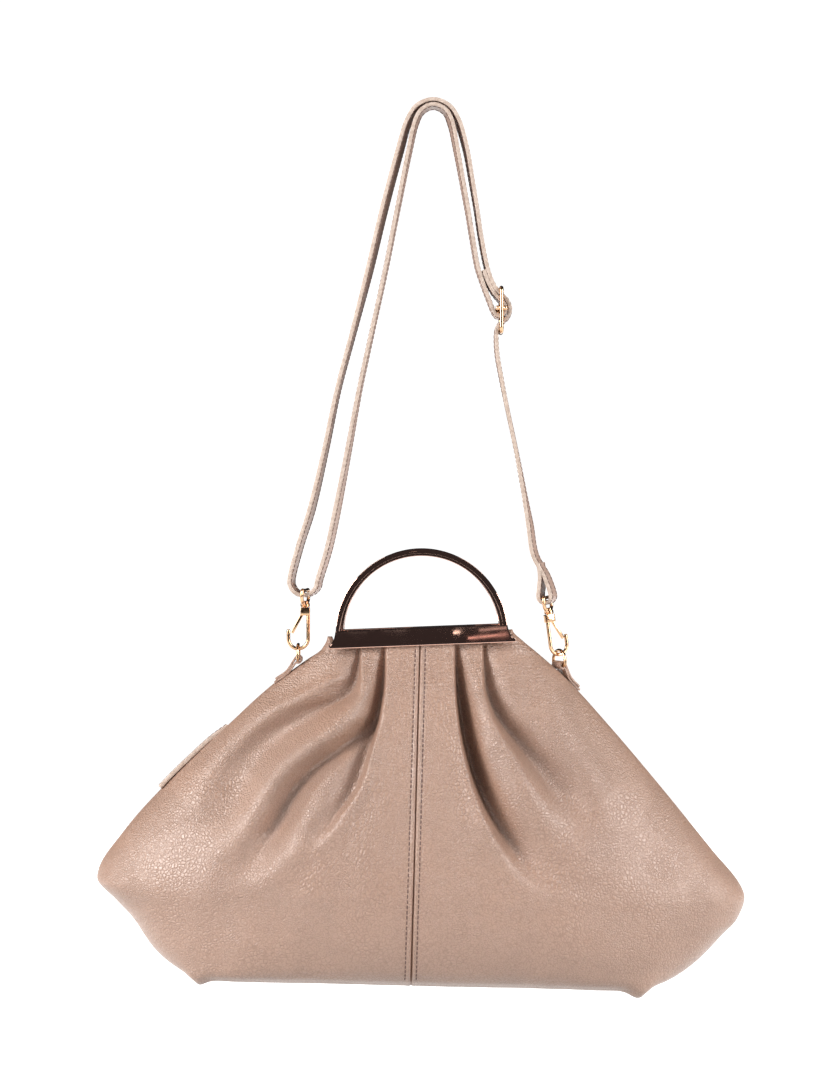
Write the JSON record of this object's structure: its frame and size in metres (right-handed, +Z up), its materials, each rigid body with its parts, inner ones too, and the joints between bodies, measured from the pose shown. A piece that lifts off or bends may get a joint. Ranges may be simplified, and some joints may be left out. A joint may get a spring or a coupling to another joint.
{
  "type": "leather handbag",
  "caption": "Soft pleated leather handbag with metal D handles on a clamped mouth and an adjustable shoulder strap on swivel snap hooks, hung by its strap.",
  "frame": {"origin": "hang point on the underside of the strap's top bend", "axes": "+Z up, the front with the seam faces -Y, +X to the right as seen from the front"},
  "size_m": [0.4388, 0.136, 0.5971],
  "materials": {
    "leather": "soft pebbled grain, satin",
    "strap_leather": "pebbled grain, stitched edges",
    "rose_metal": "mirror polished rose gold plate",
    "gold_metal": "polished pale gold plate"
  },
  "bodies": {
    "bag": {"left_panel": "leather", "right_panel": "leather", "front_handle": "rose_metal", "back_handle": "rose_metal", "left_ring_tab": "leather", "right_ring_tab": "leather", "left_d_ring": "gold_metal", "right_d_ring": "gold_metal", "left_hook_eye": "gold_metal", "right_hook_eye": "gold_metal", "shoulder_strap": "strap_leather", "strap_slider": "gold_metal", "zip_end_tab": "leather"},
    "left_hook": {"left_hook": "gold_metal"},
    "left_gate": {"left_hook_gate": "gold_metal"},
    "right_hook": {"right_hook": "gold_metal"},
    "right_gate": {"right_hook_gate": "gold_metal"}
  },
  "joints": [
    {"name": "left_hook_swivel", "type": "hinge", "parent": "bag", "child": "left_hook", "pos_m": [-0.08895, 0, -0.33802], "axis": [0, 0, 1], "range_deg": [-15, 15]},
    {"name": "left_gate_hinge", "type": "hinge", "parent": "left_hook", "child": "left_gate", "pos_m": [-0.09015, 0, -0.34282], "axis": [0, -1, 0], "range_deg": [0, 25], "stiffness_Nm_per_rad": 0.01, "springref_deg": -11.46},
    {"name": "right_hook_swivel", "type": "hinge", "parent": "bag", "child": "right_hook", "pos_m": [0.07666, 0, -0.34278], "axis": [-0.1219, 0, 0.9925], "range_deg": [-15, 15]},
    {"name": "right_gate_hinge", "type": "hinge", "parent": "right_hook", "child": "right_gate", "pos_m": [0.07828, 0.0006, -0.34741], "axis": [-0.4963, 0.866, -0.0609], "range_deg": [0, 25], "stiffness_Nm_per_rad": 0.01, "springref_deg": -11.46}
  ]
}
